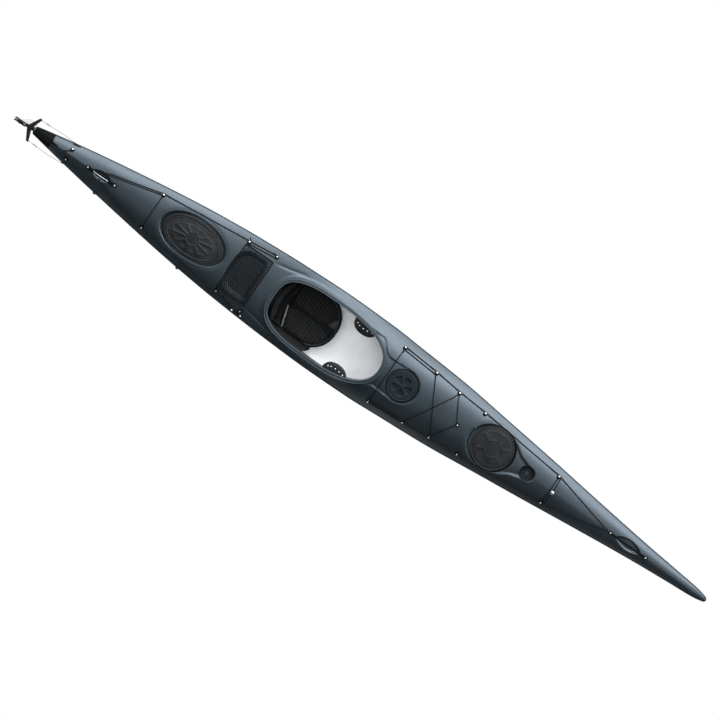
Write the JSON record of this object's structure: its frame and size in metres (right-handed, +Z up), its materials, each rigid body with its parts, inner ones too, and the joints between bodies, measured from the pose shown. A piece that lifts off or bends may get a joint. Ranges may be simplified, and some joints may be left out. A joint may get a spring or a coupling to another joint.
{
  "type": "sea kayak",
  "caption": "Long narrow decked sea kayak with cockpit, three hatches, net pocket, deck lines and a lifting rudder steered by foot pedals.",
  "frame": {"origin": "on the flat of the keel, amidships, on the centreline", "axes": "+X to the bow, +Y to port, +Z up"},
  "size_m": [5.3313, 0.5572, 0.42],
  "materials": {
    "deck_plastic": "satin moulded plastic",
    "hull_plastic": "satin moulded plastic, pale inside",
    "seam_plastic": "extruded trim",
    "hatch_rubber": "moulded rubber with fine texture",
    "moulded_plastic": "moulded, fine texture",
    "seat_fabric": "ribbed foam-backed fabric",
    "cord": "braided cord",
    "rudder_line": "braided line",
    "steel": "turned stainless steel",
    "aluminium": "anodised aluminium"
  },
  "bodies": {
    "hull": {"deck_shell": "deck_plastic", "coaming": "deck_plastic", "hull_shell": "hull_plastic", "seam_strip": "seam_plastic", "rear_hatch_rim": "moulded_plastic", "front_hatch_rim": "moulded_plastic", "pod_well": "moulded_plastic", "front_bulkhead": "moulded_plastic", "rear_bulkhead": "moulded_plastic", "seat_pan": "moulded_plastic", "thigh_brace_port": "moulded_plastic", "thigh_brace_starboard": "moulded_plastic", "rudder_chock": "moulded_plastic", "bow_handle": "moulded_plastic", "stern_handle": "moulded_plastic", "deck_fitting_stern_port": "moulded_plastic", "deck_fitting_stern_starboard": "moulded_plastic", "deck_fitting_rear_aft_port": "moulded_plastic", "deck_fitting_rear_aft_starboard": "moulded_plastic", "deck_fitting_net_aft_port": "moulded_plastic", "deck_fitting_net_aft_starboard": "moulded_plastic", "deck_fitting_net_fore_port": "moulded_plastic", "deck_fitting_net_fore_starboard": "moulded_plastic", "deck_fitting_bungee_aft_port": "moulded_plastic", "deck_fitting_bungee_aft_starboard": "moulded_plastic", "deck_fitting_bungee_mid_port": "moulded_plastic", "deck_fitting_bungee_mid_starboard": "moulded_plastic", "deck_fitting_bungee_fore_port": "moulded_plastic", "deck_fitting_bungee_fore_starboard": "moulded_plastic", "deck_fitting_hatch_side_port": "moulded_plastic", "deck_fitting_hatch_side_starboard": "moulded_plastic", "deck_fitting_fore_port": "moulded_plastic", "deck_fitting_fore_starboard": "moulded_plastic", "deck_fitting_centre": "moulded_plastic", "seat_pad": "seat_fabric", "front_deck_line": "cord", "rear_deck_line": "cord", "front_bungee": "cord", "fore_cross_bungee": "cord", "rear_cross_bungee": "cord", "stern_bungee": "cord", "net_pocket": "cord", "rudder_line_port": "rudder_line", "rudder_line_starboard": "rudder_line", "rudder_pivot_pin": "steel", "back_band_pin": "steel", "foot_rail_port": "aluminium", "foot_rail_starboard": "aluminium", "rudder_bracket": "aluminium"},
    "rudder": {"rudder_yoke": "aluminium", "blade_pivot_bolt": "steel"},
    "blade": {"rudder_blade": "moulded_plastic"},
    "pedal_port": {"foot_pedal_port": "moulded_plastic"},
    "pedal_starboard": {"foot_pedal_starboard": "moulded_plastic"},
    "rear_hatch": {"rear_hatch_cover": "hatch_rubber"},
    "front_hatch": {"front_hatch_cover": "hatch_rubber"},
    "pod_cover": {"pod_hatch_seal": "hatch_rubber", "pod_hatch_cover": "moulded_plastic"},
    "backrest": {"back_band": "seat_fabric", "back_band_frame": "moulded_plastic"}
  },
  "joints": [
    {"name": "rudder_turn", "type": "hinge", "parent": "hull", "child": "rudder", "pos_m": [-2.626, 0, 0.36], "axis": [0, 0, 1], "range_deg": [-40, 40]},
    {"name": "blade_lift", "type": "hinge", "parent": "rudder", "child": "blade", "pos_m": [-2.692, 0, 0.394], "axis": [0, 1, 0], "range_deg": [0, 268]},
    {"name": "pedal_port_slide", "type": "slide", "parent": "hull", "child": "pedal_port", "axis": [1, 0, 0], "range_m": [-0.054, 0.054]},
    {"name": "pedal_starboard_slide", "type": "slide", "parent": "hull", "child": "pedal_starboard", "axis": [1, 0, 0], "range_m": [-0.054, 0.054]},
    {"name": "rear_hatch_lift", "type": "slide", "parent": "hull", "child": "rear_hatch", "axis": [0, 0, 1], "range_m": [0, 0.15]},
    {"name": "front_hatch_lift", "type": "slide", "parent": "hull", "child": "front_hatch", "axis": [0, 0, 1], "range_m": [0, 0.15]},
    {"name": "pod_lift", "type": "slide", "parent": "hull", "child": "pod_cover", "axis": [0, 0, 1], "range_m": [0, 0.1]},
    {"name": "backrest_tilt", "type": "hinge", "parent": "hull", "child": "backrest", "pos_m": [-0.704, 0, 0.114], "axis": [0, 1, 0], "range_deg": [-6, 16]}
  ],
  "couplings": [
    {"joint": "pedal_port_slide", "follows": "rudder_turn", "m_per_rad": -0.076},
    {"joint": "pedal_starboard_slide", "follows": "rudder_turn", "m_per_rad": 0.076}
  ]
}
